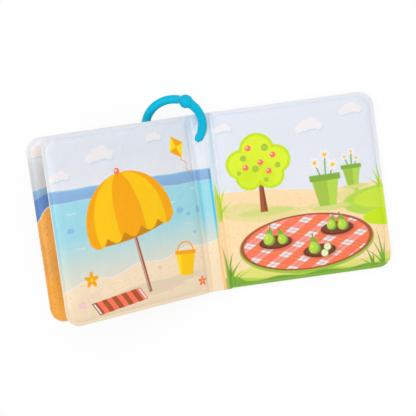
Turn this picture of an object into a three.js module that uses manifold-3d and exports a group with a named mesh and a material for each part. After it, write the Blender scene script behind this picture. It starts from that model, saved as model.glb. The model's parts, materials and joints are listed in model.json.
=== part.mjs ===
// A soft bath book, lying open at its middle spread: four padded film leaves, a folding spine and a
// one-piece split ring that goes through a slot in the gutter strip.
// Units are millimetres. +Z is up, +Y runs to the top edge of the pages, +X across the spread.
import * as THREE from 'three';
import { mergeVertices } from 'three/addons/utils/BufferGeometryUtils.js';
import Module from 'manifold-3d';

// Page sizes
const PAGE_HEIGHT = 150;
const COVER_WIDTH = 138;
const FREE_CORNER_RADIUS = 12;
const SPINE_CORNER_RADIUS = 1.5;
const TIGHTEST_CORNER_RADIUS = 1;

// Leaf build-up: two films sealed together along a flat rim, with a foam pad between them
const FILM_THICKNESS = 0.35;
const PAD_THICKNESS = 4.2;
const RIM_WIDTH = 3;
const SHOULDER_WIDTH = 8;
const FIT_GAP = 0.3;

// Spine: the outer strip joins the covers, the inner strip is the flat gutter between the open pages
const STRIP_THICKNESS = 0.4;
const OUTER_STRIP_WIDTH = 17;
const INNER_STRIP_WIDTH = 11.9;
const SPINE_HEIGHT = 9.1;
const SPINE_HINGE_X = 3.4;
const SPINE_HINGE_DROP = 0.4;
const SPINE_EDGE_GAP = 0.5;

// Hinge lines of the covers and leaves
const HINGE_GAP = 0.4;
const BACK_COVER_EDGE_X = 5;
const LEAF_HINGE_INSET = 1.2;
const LEAF_STACK_GAP = 0.25;
const HINGE_STRIP_REACH = 0.75;
const HINGE_STRIP_INSET = 0.2;

// A leaf ends flush with the cover under it
const LEAF_WIDTH = COVER_WIDTH - LEAF_HINGE_INSET;

// Rest pose of the left-hand side, which lies propped on the ring
const FRONT_COVER_TILT = THREE.MathUtils.degToRad(21);
const LEAF_1_TILT = THREE.MathUtils.degToRad(34);

// Ring and its slot
const RING_RADIUS = 23.6;
const RING_BAR_DIAMETER = 6.8;
const BEAD_DIAMETER = 10.8;
const BEAD_ANGLE = THREE.MathUtils.degToRad(59);
const SLIT_TO_BEAD = 5.1;
const SLIT_WIDTH = 0.4;
const RING_CENTRE_X = -24.8;
const RING_CENTRE_BELOW_TOP = 6.6;
const RING_TILT = THREE.MathUtils.degToRad(21.8);
const RING_ROLL = THREE.MathUtils.degToRad(-2.3);
const SLOT_CLEARANCE = 0.4;
const SLOT_SWEEP_START = THREE.MathUtils.degToRad(-150);
const SLOT_SWEEP_END = THREE.MathUtils.degToRad(50);

// Mesh fineness
const CORNER_STEPS = 5;
const SHOULDER_STEPS = 3;
const RING_STEPS = 72;
const RING_SIDES = 10;
const MERGE_DISTANCE = 0.0001;

const QUARTER_TURN = Math.PI / 2;
const halfPad = PAD_THICKNESS / 2;
const halfRim = FILM_THICKNESS + FIT_GAP / 2;

const wasm = await Module();
wasm.setup();

function finish(name, colour, roughness) {
  return new THREE.MeshStandardMaterial({ name, color: colour, roughness, metalness: 0 });
}

const materials = {
  coverFilm: finish('cover_film', 0xc9e2ee, 0.32),
  pageFilm: finish('page_film', 0xf3e3b4, 0.32),
  stripFilm: finish('strip_film', 0xdfe9f2, 0.35),
  foam: finish('foam', 0xf4f4f0, 0.95),
  ring: finish('ring', 0x06bcd8, 0.3),
};

// Height of a leaf's outer face over its mid-plane, at a distance in from the leaf's edge
function faceHeight(inset) {
  const run = THREE.MathUtils.clamp((inset - RIM_WIDTH) / SHOULDER_WIDTH, 0, 1);
  return halfRim + (halfPad - halfRim) * Math.sin(run * QUARTER_TURN);
}

// Insets of the rings of points that carry a leaf's shape: rim edge, rim foot, then up the shoulder
function leafInsets() {
  const insets = [0, RIM_WIDTH];
  for (let step = 1; step <= SHOULDER_STEPS; step += 1) {
    insets.push(RIM_WIDTH + SHOULDER_WIDTH * step / SHOULDER_STEPS);
  }
  return insets;
}

// A page outline drawn in by inset, anticlockwise from above. side is 1 for a page that reaches to +X
// from its hinge at x = 0, and -1 for one that reaches to -X.
function pageOutline(width, side, inset) {
  const hingeEdge = side * (HINGE_GAP + inset);
  const freeEdge = side * (HINGE_GAP + width - inset);
  const top = PAGE_HEIGHT / 2 - inset;
  const right = Math.max(hingeEdge, freeEdge);
  const left = Math.min(hingeEdge, freeEdge);
  const points = [];
  [[right, -top], [right, top], [left, top], [left, -top]].forEach(([cornerX, cornerY], corner) => {
    const edgeRadius = cornerX === hingeEdge ? SPINE_CORNER_RADIUS : FREE_CORNER_RADIUS;
    const radius = Math.max(edgeRadius - inset / 2, TIGHTEST_CORNER_RADIUS);
    const centreX = cornerX - Math.sign(cornerX - (left + right) / 2) * radius;
    const centreY = cornerY - Math.sign(cornerY) * radius;
    for (let step = 0; step <= CORNER_STEPS; step += 1) {
      const angle = (corner - 1 + step / CORNER_STEPS) * QUARTER_TURN;
      points.push(new THREE.Vector2(centreX + radius * Math.cos(angle), centreY + radius * Math.sin(angle)));
    }
  });
  return points;
}

// A closed sheet between a low and a high surface, each given as one height per nested outline
function nestedSheet(outlines, lows, highs) {
  const count = outlines[0].length;
  const last = outlines.length - 1;
  const positions = [];
  const indices = [];
  for (const heights of [lows, highs]) {
    outlines.forEach((outline, ring) => {
      outline.forEach((point) => positions.push(point.x, point.y, heights[ring]));
    });
    const middle = new THREE.Box2().setFromPoints(outlines[last]).getCenter(new THREE.Vector2());
    positions.push(middle.x, middle.y, heights[last]);
  }
  const layer = outlines.length * count + 1;
  const triangle = (a, b, c, flip) => indices.push(...(flip ? [a, c, b] : [a, b, c]));
  for (const [base, flip] of [[0, true], [layer, false]]) {
    for (let i = 0; i < count; i += 1) {
      const next = (i + 1) % count;
      for (let ring = 0; ring < last; ring += 1) {
        const outer = base + ring * count;
        const inner = outer + count;
        triangle(outer + i, outer + next, inner + next, flip);
        triangle(outer + i, inner + next, inner + i, flip);
      }
      triangle(base + last * count + i, base + last * count + next, base + layer - 1, flip);
    }
  }
  for (let i = 0; i < count; i += 1) {
    const next = (i + 1) % count;
    triangle(i, next, layer + next, false);
    triangle(i, layer + next, layer + i, false);
  }
  return indexedGeometry(positions, indices);
}

function indexedGeometry(positions, indices) {
  const geometry = new THREE.BufferGeometry();
  geometry.setAttribute('position', new THREE.Float32BufferAttribute(positions, 3));
  geometry.setIndex(indices);
  geometry.computeVertexNormals();
  return geometry;
}

function named(name, geometry, material) {
  const mesh = new THREE.Mesh(geometry, material);
  mesh.name = name;
  return mesh;
}

// One film of a leaf: its outer face follows faceHeight, and the face to the pad lies one film in
function leafFilm(width, side, facing) {
  const insets = leafInsets();
  const outlines = insets.map((inset) => pageOutline(width, side, inset));
  const outer = insets.map((inset) => faceHeight(inset));
  const inner = outer.map((height) => height - FILM_THICKNESS);
  if (facing > 0) {
    return nestedSheet(outlines, inner, outer);
  }
  return nestedSheet(outlines, outer.map((height) => -height), inner.map((height) => -height));
}

// The foam pad fills the shoulder and the flat, clear of both films
function leafFoam(width, side) {
  const insets = leafInsets().slice(2);
  const outlines = insets.map((inset) => pageOutline(width, side, inset));
  const heights = insets.map((inset) => faceHeight(inset) - FILM_THICKNESS - FIT_GAP);
  return nestedSheet(outlines, heights.map((height) => -height), heights);
}

// A padded leaf on its hinge line at x = 0, z = 0. The names are those of its upper and lower film.
function paddedLeaf(leaf, upperName, lowerName, width, side, film) {
  const group = new THREE.Group();
  group.add(named(`${leaf}_${upperName}`, leafFilm(width, side, 1), film));
  group.add(named(`${leaf}_foam_pad`, leafFoam(width, side), materials.foam));
  group.add(named(`${leaf}_${lowerName}`, leafFilm(width, side, -1), film));
  return group;
}

// A strip of film that runs the height of the page. The profile is drawn in X and Z.
function stripAlongPage(profile) {
  const shape = new THREE.Shape(profile.map(([x, z]) => new THREE.Vector2(x, z)));
  const geometry = new THREE.ExtrudeGeometry(shape, { depth: PAGE_HEIGHT, bevelEnabled: false });
  geometry.rotateX(QUARTER_TURN);
  geometry.translate(0, PAGE_HEIGHT / 2, 0);
  return geometry;
}

function flatStrip(minX, maxX, minZ, maxZ) {
  return stripAlongPage([[minX, minZ], [maxX, minZ], [maxX, maxZ], [minX, maxZ]]);
}

// The upright film, on a cover's hinge edge, that carries the hinge line of the leaf stacked on it
function leafHingeStrip(side) {
  const near = LEAF_HINGE_INSET - HINGE_STRIP_INSET - STRIP_THICKNESS;
  const edges = [side * near, side * (near + STRIP_THICKNESS)];
  return flatStrip(Math.min(...edges), Math.max(...edges), halfRim + FIT_GAP,
    leafHingeHeight - HINGE_STRIP_REACH);
}

const leafHingeHeight = PAD_THICKNESS + LEAF_STACK_GAP;

// Radius of the ring's bar at an angle round it: the bar, swollen to a ball at the bead
function barRadius(angle) {
  const alongBar = Math.abs(angle - BEAD_ANGLE) * RING_RADIUS;
  const ball = Math.sqrt(Math.max((BEAD_DIAMETER / 2) ** 2 - alongBar ** 2, 0));
  return Math.max(RING_BAR_DIAMETER / 2, ball);
}

// A bar bent into a circle in the XY plane, from one angle to another, with capped ends
function bentBar(startAngle, endAngle, radiusAt) {
  const positions = [];
  const indices = [];
  for (let step = 0; step <= RING_STEPS; step += 1) {
    const angle = THREE.MathUtils.lerp(startAngle, endAngle, step / RING_STEPS);
    const outward = new THREE.Vector3(Math.cos(angle), Math.sin(angle), 0);
    for (let side = 0; side < RING_SIDES; side += 1) {
      const turn = 2 * Math.PI * side / RING_SIDES;
      const reach = RING_RADIUS + radiusAt(angle) * Math.cos(turn);
      positions.push(outward.x * reach, outward.y * reach, radiusAt(angle) * Math.sin(turn));
    }
  }
  for (let step = 0; step < RING_STEPS; step += 1) {
    for (let side = 0; side < RING_SIDES; side += 1) {
      const a = step * RING_SIDES + side;
      const b = step * RING_SIDES + (side + 1) % RING_SIDES;
      indices.push(a, a + RING_SIDES, b, b, a + RING_SIDES, b + RING_SIDES);
    }
  }
  const end = RING_STEPS * RING_SIDES;
  for (let side = 1; side < RING_SIDES - 1; side += 1) {
    indices.push(0, side, side + 1, end, end + side + 1, end + side);
  }
  return indexedGeometry(positions, indices);
}

function toSolid(geometry, matrix) {
  const bare = geometry.clone().applyMatrix4(matrix);
  bare.deleteAttribute('normal');
  bare.deleteAttribute('uv');
  const merged = mergeVertices(bare, MERGE_DISTANCE);
  return new wasm.Manifold(new wasm.Mesh({
    numProp: 3,
    vertProperties: new Float32Array(merged.attributes.position.array),
    triVerts: new Uint32Array(merged.index.array),
  }));
}

function fromSolid(solid) {
  const { vertProperties, triVerts } = solid.getMesh();
  return indexedGeometry(Array.from(vertProperties), Array.from(triVerts));
}

// The ring rests on the floor at its lowest point and leans up towards the top edge of the book
function placeRing(object) {
  object.rotation.set(RING_TILT, RING_ROLL, 0);
  const lean = Math.acos(Math.cos(RING_TILT) * Math.cos(RING_ROLL));
  const height = RING_BAR_DIAMETER / 2 + RING_RADIUS * Math.sin(lean);
  object.position.set(RING_CENTRE_X, PAGE_HEIGHT / 2 - RING_CENTRE_BELOW_TOP, height);
  object.updateMatrix();
  return object;
}

// A spine strip with the slot that the ring's bar runs through
function slottedStrip(geometry) {
  const slotRadius = RING_BAR_DIAMETER / 2 + SLOT_CLEARANCE;
  const cutter = bentBar(SLOT_SWEEP_START, SLOT_SWEEP_END, () => slotRadius);
  const cut = toSolid(geometry, new THREE.Matrix4()).subtract(
    toSolid(cutter, placeRing(new THREE.Object3D()).matrix));
  return fromSolid(cut);
}

function makeRing() {
  const slitAngle = BEAD_ANGLE + SLIT_TO_BEAD / RING_RADIUS;
  const slit = SLIT_WIDTH / RING_RADIUS;
  const bar = bentBar(slitAngle + slit - 2 * Math.PI, slitAngle, barRadius);
  return placeRing(named('split_ring', bar, materials.ring));
}

function makeBackCover() {
  const cover = paddedLeaf('back_cover', 'inside_film', 'outside_film', COVER_WIDTH, 1, materials.coverFilm);
  cover.position.set(BACK_COVER_EDGE_X - HINGE_GAP, 0, halfPad);
  cover.add(named('leaf_2_hinge_strip', leafHingeStrip(1), materials.stripFilm));

  const leaf = paddedLeaf('leaf_2', 'front_film', 'back_film', LEAF_WIDTH, 1, materials.pageFilm);
  leaf.position.set(LEAF_HINGE_INSET, 0, leafHingeHeight);
  cover.add(leaf);
  return cover;
}

// The unpadded film that climbs from the back cover's rim to the spine's fold line
function backCoverHingeStrip() {
  const footX = BACK_COVER_EDGE_X - FIT_GAP - STRIP_THICKNESS;
  const footZ = halfPad - halfRim;
  const headX = SPINE_HINGE_X - STRIP_THICKNESS / 2;
  const headZ = SPINE_HEIGHT - SPINE_HINGE_DROP - STRIP_THICKNESS - FIT_GAP / 2;
  return stripAlongPage([
    [footX, footZ], [footX + STRIP_THICKNESS, footZ],
    [headX + STRIP_THICKNESS, headZ], [headX, headZ],
  ]);
}

function makeFrontCover() {
  const cover = paddedLeaf('front_cover', 'inside_film', 'outside_film', COVER_WIDTH, -1,
    materials.coverFilm);
  cover.add(named('leaf_1_hinge_strip', leafHingeStrip(-1), materials.stripFilm));

  const leaf = paddedLeaf('leaf_1', 'front_film', 'back_film', LEAF_WIDTH, -1, materials.pageFilm);
  leaf.position.set(-LEAF_HINGE_INSET, 0, leafHingeHeight);
  leaf.rotation.y = LEAF_1_TILT - FRONT_COVER_TILT;
  cover.add(leaf);
  cover.rotation.y = FRONT_COVER_TILT;
  return cover;
}

function makeSpine() {
  const spine = new THREE.Group();
  const rightEdge = SPINE_HINGE_X - SPINE_EDGE_GAP;
  const outerLow = SPINE_HEIGHT - STRIP_THICKNESS / 2;
  const innerLow = outerLow + STRIP_THICKNESS + FIT_GAP;
  const outer = flatStrip(rightEdge - OUTER_STRIP_WIDTH, rightEdge, outerLow, outerLow + STRIP_THICKNESS);
  const inner = flatStrip(rightEdge - INNER_STRIP_WIDTH, rightEdge, innerLow, innerLow + STRIP_THICKNESS);
  spine.add(named('spine_outer_strip', slottedStrip(outer), materials.stripFilm));
  spine.add(named('spine_inner_strip', slottedStrip(inner), materials.stripFilm));

  const frontCover = makeFrontCover();
  frontCover.position.set(rightEdge - OUTER_STRIP_WIDTH - HINGE_GAP, 0, SPINE_HEIGHT);
  spine.add(frontCover, makeRing());
  return spine;
}

// The origin is under the middle of the whole book, on the surface that it lies on
const open = new THREE.Group();
open.add(makeBackCover(), named('back_cover_hinge_strip', backCoverHingeStrip(), materials.stripFilm));
open.add(makeSpine());
const bounds = new THREE.Box3().setFromObject(open, true);
const middle = bounds.getCenter(new THREE.Vector3());
open.position.set(-middle.x, -middle.y, -bounds.min.z);

const book = new THREE.Group();
book.add(open);

export default book;
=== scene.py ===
"""A soft bath book, open at its middle spread: four padded film leaves, a folding spine and a toy ring."""
import json
import math
from functools import reduce
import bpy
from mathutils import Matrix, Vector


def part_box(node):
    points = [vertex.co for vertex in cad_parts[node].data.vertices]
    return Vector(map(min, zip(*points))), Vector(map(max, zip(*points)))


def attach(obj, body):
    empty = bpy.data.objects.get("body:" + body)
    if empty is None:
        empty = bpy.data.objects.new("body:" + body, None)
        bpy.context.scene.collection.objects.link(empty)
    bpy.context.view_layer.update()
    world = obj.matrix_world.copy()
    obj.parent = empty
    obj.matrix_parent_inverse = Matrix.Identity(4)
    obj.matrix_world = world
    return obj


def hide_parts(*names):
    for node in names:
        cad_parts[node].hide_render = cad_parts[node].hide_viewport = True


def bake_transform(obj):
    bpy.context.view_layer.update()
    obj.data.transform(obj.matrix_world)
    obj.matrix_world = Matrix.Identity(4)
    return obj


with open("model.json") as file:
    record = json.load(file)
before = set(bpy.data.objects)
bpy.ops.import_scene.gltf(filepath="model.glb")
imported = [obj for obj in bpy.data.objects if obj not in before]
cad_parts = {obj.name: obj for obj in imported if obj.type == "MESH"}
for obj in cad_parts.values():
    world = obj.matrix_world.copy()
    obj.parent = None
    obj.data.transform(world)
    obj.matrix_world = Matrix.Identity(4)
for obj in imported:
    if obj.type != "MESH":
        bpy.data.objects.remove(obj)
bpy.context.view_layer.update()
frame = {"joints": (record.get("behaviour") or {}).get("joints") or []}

from types import SimpleNamespace

import bmesh
import bpy
import numpy as np
from mathutils import Matrix, Vector

bl_info = {
    "name": "Bath Book",
    "version": (1, 0, 0),
    "blender": (4, 5, 0),
    "location": "View3D > Sidebar > Bath Book",
    "description": "Builds a padded bath book with printed film leaves and a split ring",
    "category": "Object",
}

MM = 0.001

# Page sizes and the rest pose, in millimetres and degrees, as in the part's source
PAGE_HEIGHT = 150
COVER_WIDTH = 138
LEAF_WIDTH = 136.8
HINGE_GAP = 0.4
FREE_CORNER_RADIUS = 12
SPINE_CORNER_RADIUS = 1.5
PAD_THICKNESS = 4.2
COVER_TILT = 21
LEAF_TILT = 34
RING_RADIUS = 23.6
RING_TILT = 21.8
RING_ROLL = -2.3
BEAD_ANGLE = math.radians(59)
SLIT_TO_BEAD = 5.1
SLIT_WIDTH = 0.4

# The film's section from its rim to the pad: the weld, the pressed groove beside it and the shoulder
WELD_HEIGHT = 0.32
GROOVE_DEPTH = 0.05
GROOVE_WIDTH = 0.45
SHOULDER_RISE = 2.3
SHOULDER_ROUNDNESS = 0.76
PUCKER_REACH = 5
PUCKER_WAVES = ((61, 0.42), (43, 0.34), (87, 0.18), (27, 0.3))
UNEVENNESS = 0.22
BUMP_COUNT = 6
RIM_EDGE = 0.2
LEAST_FILM = 0.02
LEAST_PAD = 0.05
PAD_CLEARANCE = 0.06
SAG = 0.16

# The ring's neck, where its bar swells towards the bead, its rounded ends and the holes that it runs through
NECK_LENGTH = 12
NECK_SWELL = 1.15
NECK_FADE = 5.6
END_LENGTH = 0.5
END_ROUNDING = 0.4
RING_SEAM = 0.06
HOLE_ARC = (-150, 50)
GUTTER_HOLE_CLEARANCE = 0.45
SPINE_HOLE_CLEARANCE = 0.4

# Where the print changes from one page to the other, and how far each page's film runs to its leaf
GUTTER_X = 0.44
GUTTER_Z = 9.8
BEACH_LEAD = 15.4
MEADOW_LEAD = 7.2

# Where the ring lifts the film round its hole: two ends, height and reach of each fold
RING_FOLDS = [((-9.2, 65.7), (-6.2, 58), 0.4, 0.9), ((-8.8, 42.6), (-8.4, 43), 0.8, 1.9),
              ((-1.2, 48.6), (-5.4, 43.8), 0.95, 1.7)]

# Mesh fineness, and how far in each outline of a film or a pad lies
CORNER_STEPS = 8
LONG_STEPS = 60
WIDE_STEPS = 54
RIBBON_ROWS = 76
PATH_STEPS = 6
RING_STEPS = 150
RING_SIDES = 36
BEAD_STEPS = 60
NECK_FINE = 8.5
HOLE_STEPS = 90
HOLE_SIDES = 32
SHARP_ANGLE = 48
CUT_SHARP_ANGLE = 40
FILM_INSETS = [0, 0.12, 0.32, 0.8, 1.05, 1.25, 1.5, 1.9, 2.3, 2.7, 2.95, 3.2, 3.6, 4.1, 4.8, 5.6, 6.5, 7.6,
               8.8, 10.2, 12, 14.2, 17, 20, 23.5, 27, 31, 35, 39, 43, 47, 51, 55, 58, 61, 63.5]
PAD_INSETS = [3.5, 3.8, 4.4, 5.2, 6.4, 8.0, 10.2, 14, 20, 30, 42, 54, 63.5]
PRINT_SCALE = 100
SEED = 11
FULL_TURN = 6.28

# Inks that only the hidden page has, as linear numbers
HAZE = (0.45, 0.56, 0.58)
DEEP_RED = (0.72, 0.035, 0.012)
PEBBLE_RED = (0.55, 0.05, 0.02)

# The studio. The camera's turns and distance come from a fit to the corners of the leaves.
CAMERA_TURNS = (0.09951, 0.01169, 0.13689)
CAMERA_SLIDE = (5.38, 5.82, 0)
CAMERA_DISTANCE = 1000
CAMERA_LENS = 101.92
CAMERA_SENSOR = 36
CAMERA_CLIP = (0.05, 20)
FLOOR_HALF = 4.0
FLOOR_DROP = 0.0004
FLOOR_GLOW = 0.88
WORLD_LIGHT = 0.42
LAMPS = (("key_light", (0.0, 0.7, 1.5), 1.5, 10.8), ("fill_light", (0.85, -0.55, 1.4), 1.5, 5.0),
         ("left_light", (-0.55, 0.0, 1.25), 1.0, 4.6))

JOINTS = {joint["name"]: joint for joint in frame["joints"]}


def joint_xz(name):
    place = JOINTS[name]["pos_m"]
    return place[0] / MM, place[2] / MM


PAGE_MIDDLE = JOINTS["spine_fold"]["pos_m"][1] / MM
SPINE_FOLD = joint_xz("spine_fold")
FRONT_FOLD = joint_xz("front_cover_fold")
LEAF_1_FOLD = joint_xz("leaf_1_turn")
LEAF_2_FOLD = joint_xz("leaf_2_turn")
BACK_COVER_EDGE = (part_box("back_cover_inside_film")[0].x / MM - HINGE_GAP, PAD_THICKNESS / 2)


def linear(code):
    """A colour written as six hex digits, as linear numbers."""
    parts = [int(code[at:at + 2], 16) / 255 for at in (0, 2, 4)]
    return tuple(part / 12.92 if part <= 0.04045 else ((part + 0.055) / 1.055) ** 2.4 for part in parts)


def length_setting(name, description, millimetres):
    return bpy.props.FloatProperty(name=name, description=description, default=millimetres * MM,
                                   unit="LENGTH", precision=5)


def colour_setting(name, description, code):
    return bpy.props.FloatVectorProperty(name=name, description=description, size=3, subtype="COLOR",
                                         min=0, max=1, default=linear(code))


class BathBookSizes(bpy.types.PropertyGroup):
    film_thickness: length_setting("Film thickness", "Thickness of one printed film", 0.3)
    rim_width: length_setting("Rim width", "Width of the heat-sealed rim", 3)
    hinge_rim_width: length_setting("Hinge rim width", "Width of the inner leaves' rim at the hinge", 1.2)
    shoulder_width: length_setting("Shoulder width", "How far in the pad reaches its full height", 6.5)
    pad_crown: length_setting("Pad crown", "How much an open page swells at its middle", 0.5)
    pucker_height: length_setting("Pucker height", "Height of the puckers along the seal", 0.28)
    ring_bar: length_setting("Ring bar", "Diameter of the ring's bar", 7.1)
    ring_bead: length_setting("Ring bead", "Diameter of the ring's bead", 11.3)


class BathBookColours(bpy.types.PropertyGroup):
    sky: colour_setting("Sky", "Pale sky of both open pages", "E1E6EF")
    cloud: colour_setting("Cloud", "Clouds and other near-white ink", "F0ECEE")
    cloud_shade: colour_setting("Cloud shade", "Blue under the clouds", "CBE0E8")
    sea_band: colour_setting("Sea band", "Deep water along the horizon", "8DB6E0")
    deep_sea: colour_setting("Deep sea", "Deep water on the page under the beach page", "6593D8")
    sea: colour_setting("Sea", "Shallow water", "9FDAE6")
    sand: colour_setting("Sand", "Sand of the beach page", "F7E1C1")
    dune: colour_setting("Dune", "Sand of the meadow page", "FCDDAE")
    orange: colour_setting("Orange", "Warm orange ink", "FAA900")
    yellow: colour_setting("Yellow", "Warm yellow ink", "FFC906")
    lemon: colour_setting("Lemon", "Bright yellow ink", "FFE01E")
    coral: colour_setting("Coral", "Coral red ink", "FF7656")
    brown: colour_setting("Brown", "Brown ink", "A8552C")
    lime: colour_setting("Lime", "Lime green ink", "DDF02C")
    lime_edge: colour_setting("Lime edge", "Stronger lime for outlines", "C6E40A")
    grass: colour_setting("Grass", "Middle green ink", "B4D84A")
    leaf_green: colour_setting("Leaf green", "Darker green ink", "7FAE3A")
    # Painted shade: the two crease colours stand in for the shade in the film's fold along the gutter, over
    # the sea and over the sand
    crease_shade_sea: colour_setting("Crease in the sea", "Bent film over the sea", "18C0E6")
    crease_shade_sand: colour_setting("Crease in the sand", "Bent film over the sand", "F8C27C")
    film_edge: colour_setting("Film edge", "Cut edge and inside of the films", "F2EEE4")
    foam: colour_setting("Foam", "Foam pads", "F4F3EE")
    ring: colour_setting("Ring", "Moulded ring", "00BDE1")
    floor: colour_setting("Floor", "Studio floor", "FDFDFD")


def own_names(group):
    """The names of a property group's own settings."""
    return [name for name in group.bl_rna.properties.keys() if name not in ("rna_type", "name")]


def sizes_now():
    """The sizes of the panel, in millimetres."""
    sizes = bpy.context.scene.bath_book_sizes
    return SimpleNamespace(**{name: getattr(sizes, name) / MM for name in own_names(sizes)})


def inks_now():
    """The colours of the panel."""
    colours = bpy.context.scene.bath_book_colours
    return SimpleNamespace(**{name: tuple(getattr(colours, name)) for name in own_names(colours)})


class Signal:
    """A shader socket that takes part in Python arithmetic and adds the nodes it needs."""

    def __init__(self, graph, socket):
        self.graph = graph
        self.socket = socket

    def combine(self, operation, first, second):
        wide = any(isinstance(item, tuple) or isinstance(item, Signal) and item.socket.type != "VALUE"
                   for item in (first, second))
        kind = "ShaderNodeVectorMath" if wide else "ShaderNodeMath"
        return self.graph.add(kind, {"operation": operation}, {0: first, 1: second})

    def __add__(self, other):
        return self.combine("ADD", self, other)

    def __radd__(self, other):
        return self.combine("ADD", other, self)

    def __sub__(self, other):
        return self.combine("SUBTRACT", self, other)

    def __rsub__(self, other):
        return self.combine("SUBTRACT", other, self)

    def __mul__(self, other):
        return self.combine("MULTIPLY", self, other)

    def __rmul__(self, other):
        return self.combine("MULTIPLY", other, self)

    def __truediv__(self, other):
        return self.combine("DIVIDE", self, other)

    def __abs__(self):
        return self.maths("ABSOLUTE")

    def maths(self, operation, other=0.0):
        return self.graph.add("ShaderNodeMath", {"operation": operation}, {0: self, 1: other})


class Graph:
    """The nodes of one material or of the world."""

    def __init__(self, owner):
        owner.use_nodes = True
        self.owner = owner
        owner.node_tree.nodes.clear()

    def add(self, kind, settings=None, inputs=None, output=0):
        node = self.owner.node_tree.nodes.new(kind)
        for key, value in (settings or {}).items():
            if key == "stops":
                self.set_stops(node.color_ramp, value)
            else:
                setattr(node, key, value)
        for key, value in (inputs or {}).items():
            self.feed(node.inputs[key], value)
        return Signal(self, node.outputs[output]) if node.outputs else None

    def feed(self, socket, value):
        if isinstance(value, Signal):
            self.owner.node_tree.links.new(value.socket, socket)
        elif socket.type == "RGBA":
            socket.default_value = (*value[:3], 1)
        elif socket.type == "VECTOR" and isinstance(value, (int, float)):
            socket.default_value = (value,) * 3
        else:
            socket.default_value = value

    @staticmethod
    def set_stops(ramp, stops):
        while len(ramp.elements) < len(stops):
            ramp.elements.new(1)
        for element, (position, colour) in zip(ramp.elements, stops):
            element.position = position
            element.color = (*colour, 1)

    def mix(self, share, first, second):
        return self.add("ShaderNodeMix", {"data_type": "RGBA"}, {0: share, 6: first, 7: second}, 2)

    def noise(self, point, scale, detail=2.0, roughness=0.5):
        return self.add("ShaderNodeTexNoise", None,
                        {"Vector": point, "Scale": scale, "Detail": detail, "Roughness": roughness})

    def place(self):
        """The point in the row frame, in millimetres."""
        return self.add("ShaderNodeTexCoord", None, None, "Object") / MM

    def surface(self, colour, roughness, height, bump_distance, **constants):
        normal = self.add("ShaderNodeBump", None, {"Height": height, "Distance": bump_distance})
        inputs = {"Base Color": colour, "Roughness": roughness, "Normal": normal}
        inputs.update({key.replace("_", " "): value for key, value in constants.items()})
        self.finish(self.add("ShaderNodeBsdfPrincipled", None, inputs))

    def finish(self, shader, output="ShaderNodeOutputMaterial"):
        self.add(output, None, {"Surface": shader})


def joined(*shapes):
    return reduce(lambda whole, shape: whole.maths("MINIMUM", shape), shapes)


def shared(*shapes):
    return reduce(lambda whole, shape: whole.maths("MAXIMUM", shape), shapes)


def wave(along, length, height):
    return (along * (2 * math.pi / length)).maths("SINE") * height


def lobes(x, y, count, depth):
    """A wave that runs round the origin, for the rays of a star or the petals of a flower."""
    return (y.maths("ARCTAN2", x) * count).maths("COSINE") * depth


def ball_turn(x, y, radius):
    """How far round a ball's upright axis a spot on its face lies, as an angle."""
    half = (1 - y * y / radius ** 2).maths("MAXIMUM", 0.0004).maths("SQRT")
    return (x / half / radius).maths("ARCSINE")


def shade(colour, factor):
    return tuple(min(part * factor, 1) for part in colour)


def between(first, second, share):
    return tuple(a + (b - a) * share for a, b in zip(first, second))


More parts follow.
